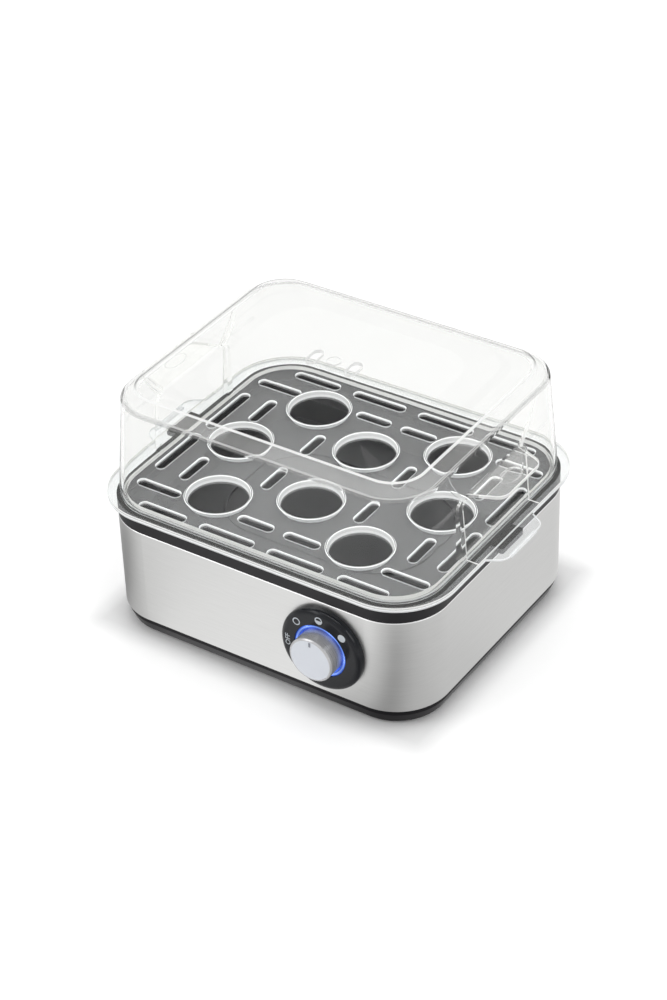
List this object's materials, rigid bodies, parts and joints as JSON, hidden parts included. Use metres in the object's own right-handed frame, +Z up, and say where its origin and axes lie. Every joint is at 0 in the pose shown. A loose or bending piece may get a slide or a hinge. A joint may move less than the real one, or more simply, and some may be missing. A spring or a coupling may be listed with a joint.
{
  "type": "egg cooker",
  "caption": "Countertop electric egg cooker: steel housing on a black base, lit rotary dial, clear egg tray with seats and steam slots, clear vented lid with side grips.",
  "frame": {"origin": "on the table, under the middle of the whole outline, dial included", "axes": "+Z up, +Y to the back, +X to the right; the dial faces -Y"},
  "size_m": [0.233, 0.1906, 0.156],
  "materials": {
    "black_plastic": "satin moulded black",
    "rubber": "matte",
    "plated_steel": "zinc plated",
    "brushed_steel": "horizontally brushed",
    "silicone": "translucent grey silicone",
    "coated_pan": "dark non-stick coating",
    "aluminium": "as rolled",
    "heater_tube": "heat darkened",
    "ceramic_white": "glazed",
    "phenolic": "moulded phenolic",
    "terminal_plastic": "natural nylon",
    "lead_insulation": "silicone insulation",
    "black_gloss": "gloss black",
    "light_guide": "clear, lit blue",
    "circuit_board": "solder mask",
    "led_blue": "clear blue",
    "shaft_steel": "machined",
    "knob_metal": "spun metal",
    "knob_face": "fine satin",
    "pointer_grey": "painted mark",
    "clear_tray": "clear polycarbonate",
    "clear_lid": "clear polycarbonate"
  },
  "bodies": {
    "housing": {"base_cover": "black_plastic", "rubber_feet": "rubber", "base_screws": "plated_steel", "housing_band": "brushed_steel", "cord_grommet": "rubber", "top_rim": "black_plastic", "pan_gasket": "silicone", "heating_pan": "coated_pan", "pan_clips": "plated_steel", "clip_screws": "plated_steel", "heat_spreader": "aluminium", "heating_element": "heater_tube", "element_terminals": "ceramic_white", "thermostat": "phenolic", "thermostat_bracket": "plated_steel", "thermal_fuse": "ceramic_white", "heat_shield": "plated_steel", "shield_screws": "plated_steel", "terminal_block": "terminal_plastic", "terminal_screws": "plated_steel", "inner_leads": "lead_insulation", "dial_bezel": "black_gloss", "light_ring": "light_guide", "led_board": "circuit_board", "board_leds": "led_blue", "control_bracket": "plated_steel", "bracket_screws": "plated_steel", "rotary_control": "phenolic", "control_nut": "plated_steel"},
    "tray": {"egg_tray": "clear_tray"},
    "cover": {"lid": "clear_lid"},
    "knob": {"control_shaft": "shaft_steel", "knob_shell": "knob_metal", "knob_cap": "knob_face", "knob_pointer": "pointer_grey"}
  },
  "joints": [
    {"name": "tray_lift", "type": "slide", "parent": "housing", "child": "tray", "axis": [0, 0, 1], "range_m": [0, 0.1]},
    {"name": "lid_lift", "type": "slide", "parent": "tray", "child": "cover", "axis": [0, 0, 1], "range_m": [0, 0.12]},
    {"name": "dial_turn", "type": "hinge", "parent": "housing", "child": "knob", "pos_m": [0.0463, -0.0851, 0.0411], "axis": [0, -1, 0], "range_deg": [-45, 90]}
  ]
}
